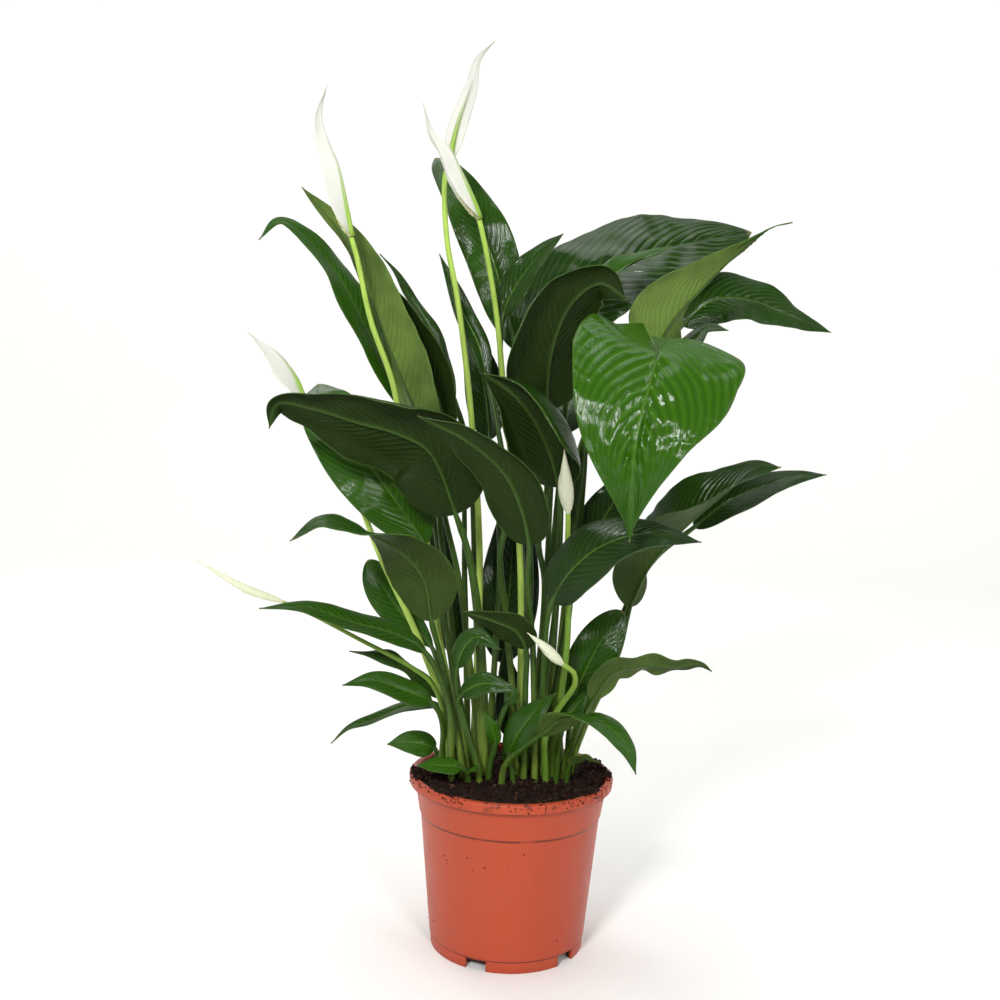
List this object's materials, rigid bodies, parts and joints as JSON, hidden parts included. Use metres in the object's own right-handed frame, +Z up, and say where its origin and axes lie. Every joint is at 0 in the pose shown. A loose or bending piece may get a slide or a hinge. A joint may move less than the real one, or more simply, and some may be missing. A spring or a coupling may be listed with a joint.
{
  "type": "potted peace lily",
  "caption": "Peace lily houseplant in a round plastic nursery pot: arching pointed leaves on long stalks and white hooded flowers above them.",
  "frame": {"origin": "on the surface that the pot stands on, under the middle of the whole plant's outline", "axes": "+Z up along the pot's axis, +X to the picture's right, -Y towards the camera"},
  "size_m": [0.5117, 0.2843, 0.7479],
  "materials": {
    "pot": "satin moulded plastic",
    "soil": "crumbly potting mix",
    "leaf": "smooth waxy leaf",
    "stalk": "smooth",
    "spathe": "soft satin"
  },
  "bodies": {
    "root": {"bud_centre": "spathe", "bud_low_left": "spathe", "bud_small": "spathe", "flower_centre_bloom": "spathe", "flower_centre_stalk": "stalk", "flower_far_left_bloom": "spathe", "flower_far_left_stalk": "stalk", "flower_left_bloom": "spathe", "flower_left_stalk": "stalk", "flower_tall_bloom": "spathe", "flower_tall_stalk": "stalk", "leaf_back_left": "leaf", "leaf_back_low": "leaf", "leaf_back_middle": "leaf", "leaf_back_right": "leaf", "leaf_back_short": "leaf", "leaf_back_tip": "leaf", "leaf_bright_pair": "leaf", "leaf_centre_back": "leaf", "leaf_centre_big": "leaf", "leaf_centre_curled": "leaf", "leaf_droop_right": "leaf", "leaf_front_dark": "leaf", "leaf_front_low": "leaf", "leaf_heart": "leaf", "leaf_left_backlit": "leaf", "leaf_left_big": "leaf", "leaf_left_droop": "leaf", "leaf_left_glossy": "leaf", "leaf_left_high": "leaf", "leaf_left_hook": "leaf", "leaf_left_oval": "leaf", "leaf_left_pair": "leaf", "leaf_left_rim": "leaf", "leaf_left_shaded": "leaf", "leaf_left_short": "leaf", "leaf_left_slim": "leaf", "leaf_left_soil": "leaf", "leaf_left_twist": "leaf", "leaf_light_narrow": "leaf", "leaf_light_right": "leaf", "leaf_right_arch": "leaf", "leaf_right_broad": "leaf", "leaf_right_dark": "leaf", "leaf_right_far": "leaf", "leaf_right_glossy": "leaf", "leaf_right_long": "leaf", "leaf_right_low": "leaf", "leaf_right_small": "leaf", "leaf_right_soil": "leaf", "leaf_right_young": "leaf", "leaf_rolled": "leaf", "leaf_slim_upright": "leaf", "leaf_thin_curl": "leaf", "leaf_top_centre": "leaf", "leaf_top_right": "leaf", "leaf_top_striped": "leaf", "pot": "pot", "soil": "soil"}
  },
  "joints": []
}
